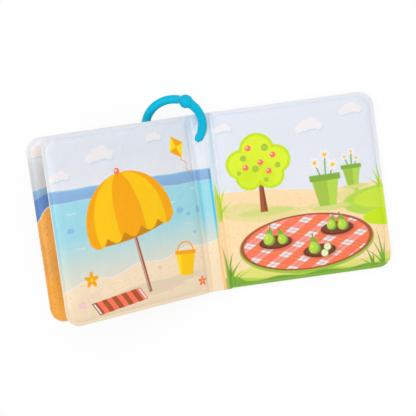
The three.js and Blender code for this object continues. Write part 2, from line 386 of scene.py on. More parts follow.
class Page:
    """Printing on one page. Lengths are millimetres on the film, and inks are laid one over another."""

    def __init__(self, graph, point, inks):
        self.graph, self.point, self.inks = graph, point, inks
        self.ink = inks.sky
        self.x, self.y = self.split(point)

    def split(self, point):
        parts = self.graph.add("ShaderNodeSeparateXYZ", None, {0: point})
        return parts, Signal(self.graph, parts.socket.node.outputs[1])

    def placed(self, centre, turn=0.0):
        """The point in a motif's own frame, with its x and y."""
        point = self.graph.add("ShaderNodeMapping", {"vector_type": "TEXTURE"},
                               {0: self.point, 1: (*centre, 0), 2: (0, 0, math.radians(turn))})
        return point, *self.split(point)

    def disc(self, centre, radius, point=None):
        away = self.graph.add("ShaderNodeVectorMath", {"operation": "DISTANCE"},
                              {0: point or self.point, 1: (*centre, 0)}, 1)
        return away - radius

    def oval(self, x, y, wide, high, point=None):
        spot = self.graph.add("ShaderNodeVectorMath", {"operation": "MULTIPLY_ADD"},
                              {0: point or self.point, 1: (1 / wide, 1 / high, 0),
                               2: (-x / wide, -y / high, 0)})
        length = self.graph.add("ShaderNodeVectorMath", {"operation": "LENGTH"}, {0: spot}, 1)
        return length * min(wide, high) - min(wide, high)

    def lay(self, ink, *shapes, soft=0.5, strength=1.0):
        """Lays ink where all the shapes overlap."""
        share = self.graph.add("ShaderNodeMath", {"operation": "MULTIPLY_ADD", "use_clamp": True},
                               {0: shared(*shapes), 1: -1 / soft, 2: 0.5})
        if strength != 1.0:
            share = share * strength
        self.ink = self.graph.mix(share, self.ink, ink)

    def ovals(self, ink, *ovals):
        """Ovals of one ink, each given by its middle and its two radii."""
        for oval in ovals:
            self.lay(ink, self.oval(*oval))

    def clouds(self, *clouds):
        """Clouds of four puffs, each over its own shade and given by its middle and its size."""
        puffs = ((-8.6, -1.6, 3.6), (-3.4, 0.6, 5.0), (2.6, 1.8, 5.4), (8.4, -0.8, 3.8))
        for x, y, size in clouds:
            for across, up, ink in ((0.7, -1.2, self.inks.cloud_shade), (0, 0, self.inks.cloud)):
                self.lay(ink, joined(*[
                    self.disc((x + across + size * right, y + up + size * high), size * radius)
                    for right, high, radius in puffs]))

    def specks(self, spacing, radius, ink, region, strength):
        cells = self.graph.add("ShaderNodeTexVoronoi", {"voronoi_dimensions": "2D"},
                               {"Vector": self.point, "Scale": 1 / spacing, "Randomness": 0.95})
        self.lay(ink, cells * spacing - radius, region, strength=strength)

    def tuft(self, ink, root, blades, thick=1.5):
        """Grass blades that fan out of one root. Each is given by how far its tip leans and its height."""
        whole = []
        for lean, height in blades:
            up = (self.y - root[1]) / height
            middle = self.x - root[0] - (up * up * (lean * 0.75) + up * (lean * 0.25))
            whole.append(shared(abs(middle) + up * thick - thick, (up - 1) * 8, up * -8))
        self.lay(ink, joined(*whole))

    def upright_ramp(self, stops):
        """Ink that changes from the bottom of the page to its top."""
        stops = [(y / PAGE_HEIGHT, ink) for y, ink in stops]
        return self.graph.add("ShaderNodeValToRGB", {"stops": stops}, {0: self.y / PAGE_HEIGHT})

    def crease(self, middle, width, ink, strength=1.0):
        """A line of painted shade along a bend of the film, laid as darker, richer ink."""
        self.lay(ink, abs(self.x - middle) - width / 2, soft=width * 0.6, strength=strength)

    def painted_light_line(self, middle, width, factor):
        """A line of painted light: the ink made lighter by a factor, to lift the shade on a bend of the film.
        """
        self.crease(middle, width, self.ink * ((factor,) * 3))


def beach_page(page):
    """The left-hand page: a parasol on a sandy beach."""
    x, y, inks = page.x, page.y, page.inks
    sky, sea, sand, band = inks.sky, inks.sea, inks.sand, inks.sea_band
    page.ink = page.upright_ramp([(99, between(sky, inks.cloud, 0.55)), (129, sky)])
    page.clouds((-104, 130, 1.05), (-142, 118, 0.7), (-52, 137, 0.62))
    horizon = y - (x * -0.02 + 104.5) - wave(x, 31, 0.25)
    page.lay(between(band, sea, 0.55), horizon)
    page.lay(band, horizon + 1.1)
    page.lay(shade(band, 0.92), horizon + wave(x + 9, 47, 0.7) + 5, strength=0.5)
    shallow = horizon + wave(x, 39, 0.4) + 9.5
    page.lay(inks.cloud, shallow, strength=0.5)
    page.lay(page.upright_ramp([(33, between(sand, sea, 0.3)), (48, between(sand, sea, 0.55)), (69, sea),
                                (99, sea)]), shallow + 0.7)
    for left, line, wide in ((-136, 88, 9), (-44, 82, 8), (-30, 62, 7), (-132, 60, 8), (-20, 90, 5)):
        page.lay(inks.cloud, abs(y - line - wave(x - left, 3.4, 0.5)) - 0.28, abs(x - left) - wide / 2)
    page.ovals(between(band, sea, 0.25), (-36, 74, 3.6, 2.4), (-28, 70, 2.2, 1.5), (-17, 72, 2.8, 3.4),
               (-139, 75, 3.2, 2.0), (-24, 54, 1.8, 1.2))
    shore = y - (x * 0.09 + 45) - wave(x, 47, 2.0)
    page.lay(inks.cloud, shore, strength=0.7)
    page.lay(sand, shore + 1)
    page.specks(5.2, 0.55, inks.orange, shore + 3, 0.5)
    page.lay(shade(sand, 0.93), shore + 14 + wave(x, 60, 3), y - 24, soft=6, strength=0.6)
    beach_parasol(page, inks)
    beach_toys(page, inks)
    # Painted shade: a darker wedge where the film folds up beside the ring, under leaf 1's top corner
    page.lay(shade(inks.cloud_shade, 0.8), (x + 9.9) * 0.87 + (y - 149.5) * 0.49,
             (x + 6) * 0.89 - (y - 142.5) * 0.45, (x + 9.2) * -1 - (y - 137) * 0.09, soft=1.4, strength=0.7)
    # Painted light and shade along the gutter: a lighter line over the bend up to leaf 1, shade ink in the
    # gutter crease, and a band of shade where the film bends at leaf 1's pad edge
    crease_shade_in_sea, crease_shade_in_band, crease_shade_in_sand = inks.crease_shade_sea, shade(band, 0.62), inks.crease_shade_sand
    page.painted_light_line(-14, 4.2, 1.17)
    page.crease(-0.9, 1.5, page.upright_ramp([
        (35, crease_shade_in_sand), (42, between(crease_shade_in_sand, inks.grass, 0.5)), (52, between(crease_shade_in_sea, inks.grass, 0.4)), (62, crease_shade_in_sea),
        (94.5, crease_shade_in_sea), (95.5, crease_shade_in_band), (103.5, crease_shade_in_band), (104.5, between(sky, inks.cloud_shade, 0.3))]))
    edge_shade_in_sea, edge_shade_in_band = between(sea, crease_shade_in_sea, 0.42), shade(band, 0.8)
    page.crease(-10.6, 3.0, page.upright_ramp([
        (38, between(sand, crease_shade_in_sand, 0.1)), (46, between(sand, crease_shade_in_sea, 0.3)), (62, edge_shade_in_sea), (94.5, edge_shade_in_sea),
        (95.5, edge_shade_in_band), (103.5, edge_shade_in_band), (104.5, sky)]), 0.85)


def beach_parasol(page, inks):
    """A big striped parasol with a scalloped edge, standing in the sand."""
    own, x, y = page.placed((-84, 73), 9)
    radius = 41
    page.lay(shade(inks.sand, 0.86), page.oval(-75, 16, 34, 5.5), soft=0.8)
    page.lay(inks.brown, abs(x) - 1.5, abs(y + 26) - 34)
    page.lay(between(inks.brown, inks.cloud, 0.5), abs(x + 0.6) - 0.4, abs(y + 26) - 33)
    hem = abs((x * (math.pi / 16.4)).maths("COSINE")) * 6
    canopy = shared(page.disc((0, 0), radius, own), hem * -1 - y - 6)
    page.lay(shade(inks.orange, 0.62), page.oval(0, -6, radius - 1.5, 7.5, own), y * -1 - 16)
    turn = ball_turn(x, y, radius) * 5
    stripe = turn.maths("COSINE") * 4
    page.lay(inks.orange, canopy)
    page.lay(inks.yellow, canopy, stripe)
    page.lay(inks.lemon, canopy + 1.2, stripe + 1.2, (turn + 0.5).maths("COSINE") * -4 + 3.4, strength=0.5)
    page.lay(inks.orange, canopy, page.disc((0, 3), radius + 1, own) * -1 - 4.5, soft=0.6, strength=0.35)
    page.lay(inks.coral, page.disc((0, radius + 1.6), 2.6, own))
    page.lay(inks.cloud, page.disc((-0.6, radius + 2.2), 0.9, own))


def beach_toys(page, inks):
    """A towel, a bucket, a kite, starfish and shells."""
    _, x, y = page.placed((-104, 12), 5)
    slant = x + y * 0.5
    towel = shared(abs(slant) - 23, abs(y) - 5.5)
    page.lay(inks.coral, towel)
    page.lay(inks.brown, towel, wave(slant, 9.2, 1.0) * 3)
    page.lay(inks.cloud, towel + 0.9, (abs(slant) - 20.6) * -1)

    bucket, x, y = page.placed((-37, 30), -6)
    body = shared(abs(x) - y * 0.16 - 8, abs(y) - 10)
    page.lay(shade(inks.sand, 0.86), page.oval(-37, 19.5, 14, 3), soft=0.8)
    page.lay(inks.orange, abs(page.oval(0, 9, 8, 8.5, bucket)) - 0.6, y * -1 + 9)
    page.lay(inks.lemon, body)
    page.lay(inks.yellow, body, abs(x - 4) - 1.5)
    page.lay(inks.yellow, body, x * -1 - 4.5)
    page.lay(inks.orange, abs(y - 9) - 1.6, abs(x) - 10.2)

    _, x, y = page.placed((-31, 126), 24)
    sail = abs(x) * 0.8 + abs(y) * 0.58 - 6
    page.lay(inks.orange, abs(x - wave(y, 9, 1.3)) - 0.4, abs(y + 17) - 9)
    page.lay(inks.lemon, sail)
    page.lay(inks.orange, sail, x * y * -0.5)

    for place, size, ink in (((-127, 34), 6.2, inks.orange), ((-23, 12), 4.2, inks.coral)):
        star, x, y = page.placed(place, 14)
        page.lay(ink, page.disc((0, 0), size * 0.78, star) - lobes(x, y, 5, size * 0.3))
        page.lay(inks.lemon, page.disc((0, 0), size * 0.22, star))
    for place, size in (((-56, 12), 3.0), ((-138, 15), 3.6), ((-63, 31), 2.2)):
        shell, x, y = page.placed(place, -20)
        fan = shared(page.disc((0, 0), size, shell), y * -1 - size * 0.35)
        page.lay(between(inks.coral, inks.cloud, 0.45), fan)
        page.lay(inks.cloud, fan, lobes(x, y + size * 0.6, 14, 2) + 0.6, strength=0.8)


def meadow_page(page):
    """The right-hand page: a round tree and a checked cloth in a meadow."""
    x, y, inks = page.x, page.y, page.inks
    sky, dune, grass, green = inks.sky, inks.dune, inks.grass, inks.leaf_green
    page.ink = page.upright_ramp([(75, between(sky, inks.cloud, 0.3)), (105, sky), (150, sky)])
    page.clouds((88, 128, 0.95), (124, 137, 0.8), (16, 135, 0.62))
    hill = y - 77 - wave(x + 30, 190, 4)
    page.lay(dune, hill)
    page.lay(between(dune, grass, 0.3), hill + 1, y - 66 - wave(x, 96, 5), soft=2)
    page.lay(dune, y - 57 - wave(x + 44, 120, 5), soft=2)
    page.specks(5.6, 0.55, inks.orange, hill + 4, 0.45)
    page.tuft(grass, (122, 66), ((-12, 9), (-5, 15), (2, 10)))
    page.tuft(grass, (142, 66), ((-14, 14), (-7, 21), (-2, 27)))
    page.ovals(grass, (148, 58, 40, 13))
    page.ovals(between(grass, inks.lime, 0.5), (150, 60, 32, 9))
    page.ovals(inks.lime_edge, (150, 44, 26, 8))
    page.tuft(inks.lime_edge, (4, 61), ((-3, 36), (9, 27)), 2.0)
    page.tuft(grass, (2, 58), ((-1, 42), (5, 27), (16, 17)), 2.8)
    meadow_tree(page, inks)
    meadow_pots(page, inks)
    page.lay(shade(between(inks.lime, dune, 0.45), 0.92), y - 15 - wave(x - 20, 130, 5))
    page.lay(grass, y - 6 - wave(x + 8, 70, 2))
    checked_cloth(page, inks)
    page.tuft(green, (4, 0), ((-3, 38), (7, 31), (14, 24), (21, 14)), 2.6)
    page.tuft(shade(green, 0.8), (5, 0), ((4, 19), (12, 14)), 2.2)
    page.tuft(green, (137, 0), ((-16, 19), (-9, 27), (-3, 35), (3, 24)))
    page.tuft(shade(green, 0.8), (128, 0), ((-14, 12), (-6, 21), (1, 16)))
    page.lay(green, y - 4.5 - wave(x, 38, 1.2))
    page.ovals(green, (6, 2, 13, 8))
    # Painted shade and light along the gutter: shade ink in the crease over the sand, a lighter line on the
    # bend down to leaf 2, and a pale blue band of shade in the crease over the sky
    page.lay(inks.crease_shade_sand, abs(x - 0.2) - 1.8, y - 76, soft=2.4, strength=0.5)
    page.painted_light_line(5.6, 2.4, 1.1)
    page.lay(inks.cloud_shade, abs(x - 1.8 - (y - 110) * 0.09) - 1.7, 80 - y, soft=1.8, strength=0.85)


def meadow_tree(page, inks):
    """A round fruit tree with a lime crown."""
    x, y = page.x, page.y
    page.lay(between(inks.grass, inks.dune, 0.4), page.oval(44, 61, 24, 3.4), soft=0.8)
    page.lay(inks.brown, abs(x - 42) - (78 - y) * 0.06 - 2.2, 61 - y, y - 92)
    page.lay(shade(inks.brown, 0.6), abs(x - 43.2) - 0.8, 62 - y, y - 86)
    crown = joined(*[page.disc(spot, radius) for spot, radius in (
        ((42, 113), 15), ((27, 103), 12.5), ((57, 104), 12.5), ((33, 92), 11.5), ((51, 92), 12))])
    page.lay(inks.lime_edge, crown)
    page.lay(inks.lime, crown + 2.4)
    page.lay(inks.lime_edge, crown + 3.4, page.disc((38, 90), 16), soft=6, strength=0.5)
    for spot, radius in (((30, 108), 2.6), ((49, 115), 3.0), ((58, 99), 2.4), ((39, 98), 2.8),
                         ((25, 96), 1.8), ((47, 88), 2.0)):
        page.lay(between(inks.leaf_green, inks.lime, 0.35), page.disc(spot, radius))
    for right, up in ((35, 116), (55, 108), (44, 103), (31, 100), (50, 95)):
        page.lay(inks.coral, page.disc((right, up), 2.5))
        page.lay(inks.cloud, page.disc((right - 0.8, up + 0.8), 0.7))


def meadow_pots(page, inks):
    """Green pots with daisies."""
    for right, up, size in ((96, 72, 1.0), (119, 82, 0.66)):
        page.lay(between(inks.grass, inks.dune, 0.45),
                 page.oval(right + 2, up - 14.5 * size, 17 * size, 3 * size), soft=0.8)
        _, x, y = page.placed((right, up))
        for lean, high in ((-6.5, 24), (1.5, 30), (8.5, 21)):
            lean *= 0.045
            page.lay(inks.leaf_green, abs(x - y * lean) - 0.6, y - high * size, 4 * size - y)
            head, across, away = page.placed((right + lean * size * high, up + high * size))
            page.lay(inks.cloud, page.disc((0, 0), 4 * size, head) - lobes(across, away, 6, 1.3 * size))
            page.lay(inks.yellow, page.disc((0, 0), 1.7 * size, head))
        body = shared(abs(x) - y * 0.2 - 9.5 * size, abs(y) - 13 * size)
        page.lay(shade(inks.grass, 0.8), body)
        page.lay(inks.grass, body, x * -1 + 1.5 * size)
        page.lay(inks.leaf_green, abs(x) - 13 * size, abs(y - 11 * size) - 2.6 * size)


def checked_cloth(page, inks):
    """A round checked cloth lying on the grass, with plates of pears."""
    rim = page.oval(74, 31, 55, 23)
    page.ovals(between(inks.leaf_green, inks.grass, 0.5), (74, 29.5, 57.5, 24.5))
    page.lay(inks.coral, rim)
    flat = page.graph.add("ShaderNodeMapping", {"vector_type": "POINT"},
                          {0: page.point, 2: (0, 0, math.radians(38)), 3: (1, 2.1, 1)})
    bars = [wave(line, 19, 1.0) for line in page.split(flat)]
    pale = between(inks.cloud, inks.coral, 0.12)
    page.lay(between(inks.coral, pale, 0.22), rim, bars[0] * 6)
    page.lay(between(inks.coral, inks.orange, 0.3), rim, bars[1] * 6, strength=0.5)
    page.lay(pale, rim, bars[0] * 6 + 0.6, bars[1] * 6 + 0.6)
    for bar in bars:
        page.lay(inks.brown, rim, abs(bar) * 3 - 0.16, strength=0.75)
        page.lay(inks.brown, rim, abs(bar + 1) * 30 - 0.3, strength=0.5)
    page.lay(inks.brown, abs(rim) - 0.7)
    for right, up in ((48, 34), (84, 22), (101, 39)):
        page.lay(shade(inks.coral, 0.6), page.oval(right + 1, up - 1, 15.5, 6.4), soft=1.5, strength=0.6)
        page.ovals(shade(inks.brown, 0.3), (right, up, 14, 5.6))
        page.ovals(shade(inks.brown, 0.5), (right, up + 0.4, 12, 4.2))
    for spot, lean, size in (((43, 38), -10, 1.0), ((54, 37), 16, 0.9), ((80, 26), 4, 1.05),
                             ((97, 43), -14, 0.85), ((106, 42.5), 12, 0.95)):
        own, x, y = page.placed(spot, lean)
        pear = joined(page.disc((0, -1.2 * size), 4.8 * size, own),
                      page.oval(0, 3.8 * size, 2.8 * size, 4.2 * size, own))
        page.lay(inks.brown, abs(x) - 0.5, y - 10.6 * size, 6 * size - y)
        page.lay(inks.leaf_green, pear)
        page.lay(inks.grass, pear, page.disc((-1.6 * size, -0.4 * size), 4.6 * size, own))
        page.ovals(inks.lime, (-2.0 * size, 0.6 * size, 0.9 * size, 1.8 * size, own))
    for spot in ((91, 24.5), (88, 19.5)):
        for radius, ink in ((3.2, inks.grass), (2.5, inks.cloud), (1.0, inks.lime)):
            page.lay(ink, page.disc(spot, radius))


def harbour_page(page):
    """The page under the beach page: deep water and orange sand."""
    x, y, inks = page.x, page.y, page.inks
    far = between(inks.sky, HAZE, 0.3)
    # Painted light: the top of the sky is 1.15 times lighter, against the shade that leaf 1 throws on this
    # page
    page.ink = page.upright_ramp([(111, far), (129, between(far, inks.sky, 0.5)),
                                  (139.5, shade(inks.sky, 1.15))])
    page.clouds((-141, 139, 0.9), (-98, 130, 1.0), (-40, 128, 0.9))
    horizon = y - (x * 0.2 + 138.5)
    page.lay(between(inks.sea_band, inks.sea, 0.3), horizon)
    page.lay(inks.sea_band, horizon + 2.4 + wave(x, 19, 0.8))
    page.lay(inks.deep_sea, horizon + 6.5 + wave(x, 23, 1.2))
    shore = shared(y - (x * 0.95 + 230) - wave(x, 15, 1.4), y - (x * 0.05 + 104))
    sand = between(inks.orange, inks.sand, 0.2)
    page.lay(inks.sand, shore, soft=0.6)
    page.lay(sand, shore + 1.4)
    page.lay(shade(sand, 0.93), shore + 5, y - 62 - wave(x, 33, 6), soft=6)
    page.lay(between(inks.orange, inks.sand, 0.13), y - 42 - wave(x + 8, 44, 5), soft=10)
    page.specks(4.6, 0.5, shade(sand, 0.62), shore + 4, 0.7)
    for place, size, tilt in (((-129, 54), 8.5, 12), ((-70, 40), 9.0, -8)):
        star, across, up = page.placed(place, tilt)
        rays = lobes(across, up, 5, size * 0.3)
        page.lay(shade(sand, 0.6), page.disc((0.6, -1.0), size * 0.8, star) - rays)
        page.lay(DEEP_RED, page.disc((0, 0), size * 0.78, star) - rays)
    for right, up, wide, high in ((-131, 14, 7, 3.2), (-118, 24, 5, 2.4), (-52, 18, 8, 3.4)):
        page.ovals(shade(sand, 0.62), (right + 1, up - 1.4, wide * 1.15, high))
        page.ovals(PEBBLE_RED, (right, up, wide, high))
        page.ovals(inks.coral, (right - 1, up + 0.7, wide * 0.6, high * 0.4))
    _, across, up = page.placed((-124, 108), 8)
    page.lay(DEEP_RED, abs(across) + up * 0.42 - 3.6, up * -1 - 3)


def pond_page(page):
    """The page under the meadow page: lily pads on a pond."""
    x, y, inks = page.x, page.y, page.inks
    page.ink = page.upright_ramp([(60, inks.sea), (93, between(inks.sea, inks.sky, 0.6)), (120, inks.sky)])
    page.clouds((104, 130, 1.1), (38, 124, 0.9))
    page.lay(inks.grass, y - 98 - wave(x, 60, 4), 84 + wave(x, 40, 2) - y)
    for right, up, wide in ((30, 52, 17), (72, 34, 21), (110, 60, 15), (104, 20, 13), (26, 18, 12)):
        page.ovals(shade(inks.sea_band, 0.9), (right + 1, up - 2, wide, wide * 0.45))
        page.ovals(inks.leaf_green, (right, up, wide, wide * 0.45))
        page.ovals(inks.grass, (right - 1, up + 1, wide * 0.85, wide * 0.34))
    page.lay(inks.dune, y - 5 - wave(x, 30, 1.5))


def front_cover_outside(page):
    """The front cover: a striped ball on waves."""
    x, y, inks = page.x, page.y, page.inks
    page.ink = page.upright_ramp([(52.5, between(inks.sea, inks.sky, 0.5)), (120, inks.sky)])
    page.clouds((32, 126, 1.1), (108, 118, 1.0))
    page.lay(inks.sea_band, y - 66 - wave(x, 23, 2))
    page.lay(inks.sea, y - 59 - wave(x + 8, 23, 2))
    ball, across, up = page.placed((70, 80), 24)
    skin = page.disc((0, 0), 31, ball)
    turn = ball_turn(across, up, 31) * 3
    page.lay(inks.lemon, skin)
    page.lay(inks.orange, skin, turn.maths("SINE") * 5)
    page.lay(inks.coral, skin, (turn + 1.2).maths("COSINE") * 5 + 3.4)
    page.lay(inks.cloud, page.disc((-1, 27), 4.5, ball))
    page.lay(inks.cloud, page.oval(-12, 12, 5, 8, ball), soft=4, strength=0.55)
    page.lay(between(inks.sea, inks.sea_band, 0.3), y - 52 - wave(x, 23, 2))
    page.lay(inks.sea, y - 42 - wave(x + 12, 23, 2))
    page.lay(inks.sand, y - 22 - wave(x, 60, 2))
    page.specks(5.2, 0.55, inks.orange, y - 19, 0.6)


def spotted_page(ground, motif, spacing, radius):
    """A cover or hidden page with a border, rows of spots and a wave line."""
    def draw(page):
        x, y, cloud = page.x, page.y, page.inks.cloud
        page.ink, spots = getattr(page.inks, ground), getattr(page.inks, motif)
        page.lay(between(page.ink, cloud, 0.5), y - 75 - wave(x, 60, 5), soft=40)
        cell = page.graph.add("ShaderNodeVectorMath", {"operation": "WRAP"},
                              {0: page.point, 1: (spacing / 2,) * 3, 2: (-spacing / 2,) * 3})
        page.lay(spots, page.disc((0, 0), radius, cell))
        border = (abs(y - 75) - 66 - wave(x, 12, 1.6)) * -1
        page.lay(spots, border)
        page.lay(between(spots, cloud, 0.4), border + 3.2)
    return draw


def printed(draw):
    """Printed, slightly glossy plastic film."""
    def fill(graph, inks):
        point = graph.add("ShaderNodeUVMap", {"uv_map": "print"}) * PRINT_SCALE
        page = Page(graph, point, inks)
        draw(page)
        grain = graph.noise(point, 1.9, 3)
        cloudy = graph.noise(point, 0.045)
        height = graph.noise(point, 0.11) * 0.8 + graph.noise(point, 2.6) * 0.05
        graph.surface(page.ink * (grain * 0.05 + cloudy * 0.04 + 0.955), cloudy * 0.16 + grain * 0.08 + 0.30,
                      height, 0.0011, Specular_IOR_Level=0.2, Coat_Weight=0.04, Coat_Roughness=0.25)
    return fill


def film_edge(graph, inks):
    """The cut edge and the unprinted inside of the film."""
    streaks = graph.noise(graph.place() * (0.4, 0.4, 6.0), 1.0)
    colour = graph.mix(streaks, shade(inks.film_edge, 0.93), inks.film_edge)
    graph.surface(colour, streaks * 0.2 + 0.35, streaks, 0.0001)


def open_cell_foam(graph, inks):
    """White open-cell foam, with painted shade darkening its pores."""
    pores = graph.add("ShaderNodeTexVoronoi", None, {"Vector": graph.place(), "Scale": 1.4})
    # Painted shade: the pores are darker than the foam around them
    colour = graph.mix(pores, shade(inks.foam, 0.82), inks.foam)
    graph.surface(colour, pores * 0.1 + 0.85, pores, 0.0004)


def ring_plastic(graph, inks):
    """Moulded plastic of one colour with faint flow marks."""
    place = graph.place()
    flow = graph.noise(place * (1.0, 1.0, 0.35), 0.16, 3, 0.55)
    fine = graph.noise(place, 3.2)
    colour = graph.mix(flow, shade(inks.ring, 0.9), shade(inks.ring, 1.05))
    graph.surface(colour, flow * 0.14 + fine * 0.06 + 0.28, flow * 0.4 + fine * 0.05, 0.0005,
                  Specular_IOR_Level=0.1, Coat_Weight=0.02, Coat_Roughness=0.2)


def white_floor(graph, inks):
    """A white floor. The camera sees most of it at full white, and the rest keeps the soft shadow."""
    fleck = graph.noise(graph.add("ShaderNodeTexCoord", None, None, "Object"), 40)
    colour = graph.mix(fleck, shade(inks.floor, 0.99), inks.floor)
    lit = graph.add("ShaderNodeBsdfDiffuse", None, {"Color": colour})
    white = graph.add("ShaderNodeEmission", None, {"Color": (1, 1, 1), "Strength": 1.0})
    seen = graph.add("ShaderNodeLightPath", None, None, "Is Camera Ray")
    graph.finish(graph.add("ShaderNodeMixShader", None, {0: seen * FLOOR_GLOW, 1: lit, 2: white}))


# No name here is one of the frame's own materials, which are named by their slots
FINISHES = {
    "beach_print": printed(beach_page),
    "meadow_print": printed(meadow_page),
    "harbour_print": printed(harbour_page),
    "pond_print": printed(pond_page),
    "front_cover_print": printed(front_cover_outside),
    "back_cover_print": printed(spotted_page("cloud_shade", "cloud", 15, 3.4)),
    "leaf_1_back_print": printed(spotted_page("sand", "orange", 17, 2.6)),
    "leaf_2_back_print": printed(spotted_page("sea", "cloud", 19, 3.0)),
    "spine_print": printed(spotted_page("cloud_shade", "cloud_shade", 15, 3.4)),
    "film_edge": film_edge,
    "open_cell_foam": open_cell_foam,
    "ring_plastic": ring_plastic,
    "floor": white_floor,
}


def material(name):
    """The material of this name, made when it is first wanted."""
    if name not in bpy.data.materials:
        FINISHES[name](Graph(bpy.data.materials.new(name)), inks_now())
    return bpy.data.materials[name]


def add_piece(name, vertices, faces, uvs, materials, face_materials):
    """A closed mesh from millimetres in the row frame, one print place to each vertex."""
    mesh = bpy.data.meshes.new(name)
    mesh.from_pydata((np.asarray(vertices) * MM).tolist(), [], faces)
    layer = mesh.uv_layers.new(name="print")
    loops = np.zeros(len(mesh.loops), int)
    mesh.loops.foreach_get("vertex_index", loops)
    layer.uv.foreach_set("vector", (np.asarray(uvs) / PRINT_SCALE)[loops].astype(np.float32).ravel())
    for item in materials:
        mesh.materials.append(material(item))
    mesh.polygons.foreach_set("material_index", np.asarray(face_materials, np.int32))
    mesh.validate()
    mesh.shade_smooth()
    mesh.set_sharp_from_angle(angle=math.radians(SHARP_ANGLE))
    piece = bpy.data.objects.new(name, mesh)
    bpy.context.scene.collection.objects.link(piece)
    return piece


class Leaf:
    """One padded leaf, on the body of its name: its hinge line, tilt, direction and two prints."""

    def __init__(self, name, hinge, tilt, side, upper_print, lower_print):
        self.name, self.hinge, self.side = name, hinge, side
        self.tilt = math.radians(tilt)
        self.inner = name.startswith("leaf")
        width = LEAF_WIDTH if self.inner else COVER_WIDTH
        self.width = width + HINGE_GAP
        upper, lower = ("front", "back") if self.inner else ("inside", "outside")
        self.films = ((f"{name}_{upper}_film", 1, upper_print), (f"{name}_{lower}_film", -1, lower_print))
        dice = np.random.RandomState(SEED + 8 * len(name) + int(width))
        self.count = len(self.outline(0))
        turn = np.arange(self.count) / self.count * 2 * math.pi
        self.puckers = sum(share * np.sin(number * turn + dice.uniform(0, FULL_TURN))
                           for number, share in PUCKER_WAVES)
        self.puckers *= 0.55 + 0.45 * np.sin(5 * turn + dice.uniform(0, FULL_TURN))
        self.bumps = [(dice.uniform(0.03, 0.09), dice.uniform(-1.6, 1.6), dice.uniform(0, FULL_TURN))
                      for _ in range(BUMP_COUNT)]

    def outline(self, inset):
        """A page outline drawn in by inset, anticlockwise, from the hinge line at x = 0."""
        top = PAGE_HEIGHT / 2 - inset
        free = self.width - inset
        corners = [(free, -top, FREE_CORNER_RADIUS, LONG_STEPS), (free, top, FREE_CORNER_RADIUS, WIDE_STEPS),
                   (inset, top, SPINE_CORNER_RADIUS, LONG_STEPS),
                   (inset, -top, SPINE_CORNER_RADIUS, WIDE_STEPS)]
        arcs = []
        for number, (x, y, radius, _) in enumerate(corners):
            radius = max(radius - inset / 2, 1)
            angles = (number - 1 + np.linspace(0, 1, CORNER_STEPS + 1)) * math.pi / 2
            centre = (x - math.copysign(radius, x - self.width / 2), y - math.copysign(radius, y))
            arcs.append(np.stack([centre[0] + radius * np.cos(angles),
                                  centre[1] + radius * np.sin(angles)], 1))
        points = []
        for arc, ahead, (*_, steps) in zip(arcs, arcs[1:] + arcs[:1], corners):
            share = np.arange(1, steps)[:, None] / steps
            points += [arc, arc[-1] + (ahead[0] - arc[-1]) * share]
        return np.concatenate(points)

    def height(self, points, inset, facing):
        """Height of an outer face over the mid-plane. Only the open pages rise past the pad's height."""
        sizes = sizes_now()
        x, y = points[:, 0], points[:, 1]
        rim = np.full(len(x), sizes.rim_width)
        if self.inner:
            near = np.clip(1 - (x - 2) / 7, 0, 1)
            rim -= (rim - sizes.hinge_rim_width) * near * near * (3 - 2 * near)
        past = inset - rim
        run = np.clip(past / sizes.shoulder_width, 0, 1)
        shoulder = (1 - (1 - run) ** SHOULDER_RISE) ** SHOULDER_ROUNDNESS
        height = WELD_HEIGHT + (PAD_THICKNESS / 2 - WELD_HEIGHT) * shoulder
        height -= GROOVE_DEPTH * np.exp(-(past / GROOVE_WIDTH) ** 2)
        pucker = self.puckers * np.exp(-np.clip(past, 0, None) / PUCKER_REACH) * np.clip(run * 4, 0, 1)
        swell = self.swell(x, y) * run
        if facing < 0 or not self.inner:
            return height - (np.abs(pucker) * 0.6 + (0.14 - swell * 0.14)) * run * sizes.pucker_height
        crown = (1 - (2 * x / self.width - 1) ** 2) * (1 - (2 * y / PAGE_HEIGHT) ** 2)
        crown = np.clip(crown, 0, 1) ** 0.6 * run
        return height + pucker * sizes.pucker_height + swell * UNEVENNESS + crown * sizes.pad_crown

    def swell(self, x, y):
        """Slow unevenness of the pad, from -1 to 1."""
        return sum(np.sin((x * math.cos(heading) + y * math.sin(heading)) * pace * 2.2 + phase)
                   for pace, heading, phase in self.bumps) / len(self.bumps)

    def place(self, points, heights):
        """Points on the leaf, in millimetres in the row frame."""
        x = self.side * points[:, 0]
        turned_x = x * math.cos(self.tilt) + heights * math.sin(self.tilt)
        turned_z = heights * math.cos(self.tilt) - x * math.sin(self.tilt)
        return np.stack([self.hinge[0] + turned_x, PAGE_MIDDLE + points[:, 1], self.hinge[1] + turned_z], 1)

    def nest(self, facing, insets, depth, least, edge=0.0):
        """Nested outlines of one face with its middle point, flat and as points in the row frame."""
        flat, placed = [], []
        for inset in insets:
            points = self.outline(inset)
            height = self.height(points, inset, facing) - depth if inset else np.full(self.count, edge)
            flat.append(points)
            placed.append(self.place(points, facing * np.maximum(height, least)))
        flat.append(points.mean(0, keepdims=True))
        placed.append(self.place(flat[-1], facing * height.mean(keepdims=True)))
        return np.concatenate(flat), np.concatenate(placed)


def nest_faces(ring_count, count, flip):
    """Faces of two nests, one over the other, and of the wall that joins their first outlines."""
    faces = []
    lower = ring_count * count + 1
    for start, turned in ((0, flip), (lower, not flip)):
        nest = [(outer + at, outer + (at + 1) % count, outer + count + (at + 1) % count, outer + count + at)
                for outer in range(start, start + (ring_count - 1) * count, count) for at in range(count)]
        last = start + (ring_count - 1) * count
        nest += [(last + at, last + (at + 1) % count, last + count) for at in range(count)]
        faces += [face[::-1] for face in nest] if turned else nest
    wall = [(lower + at, lower + (at + 1) % count, (at + 1) % count, at) for at in range(count)]
    return faces + ([face[::-1] for face in wall] if flip else wall)


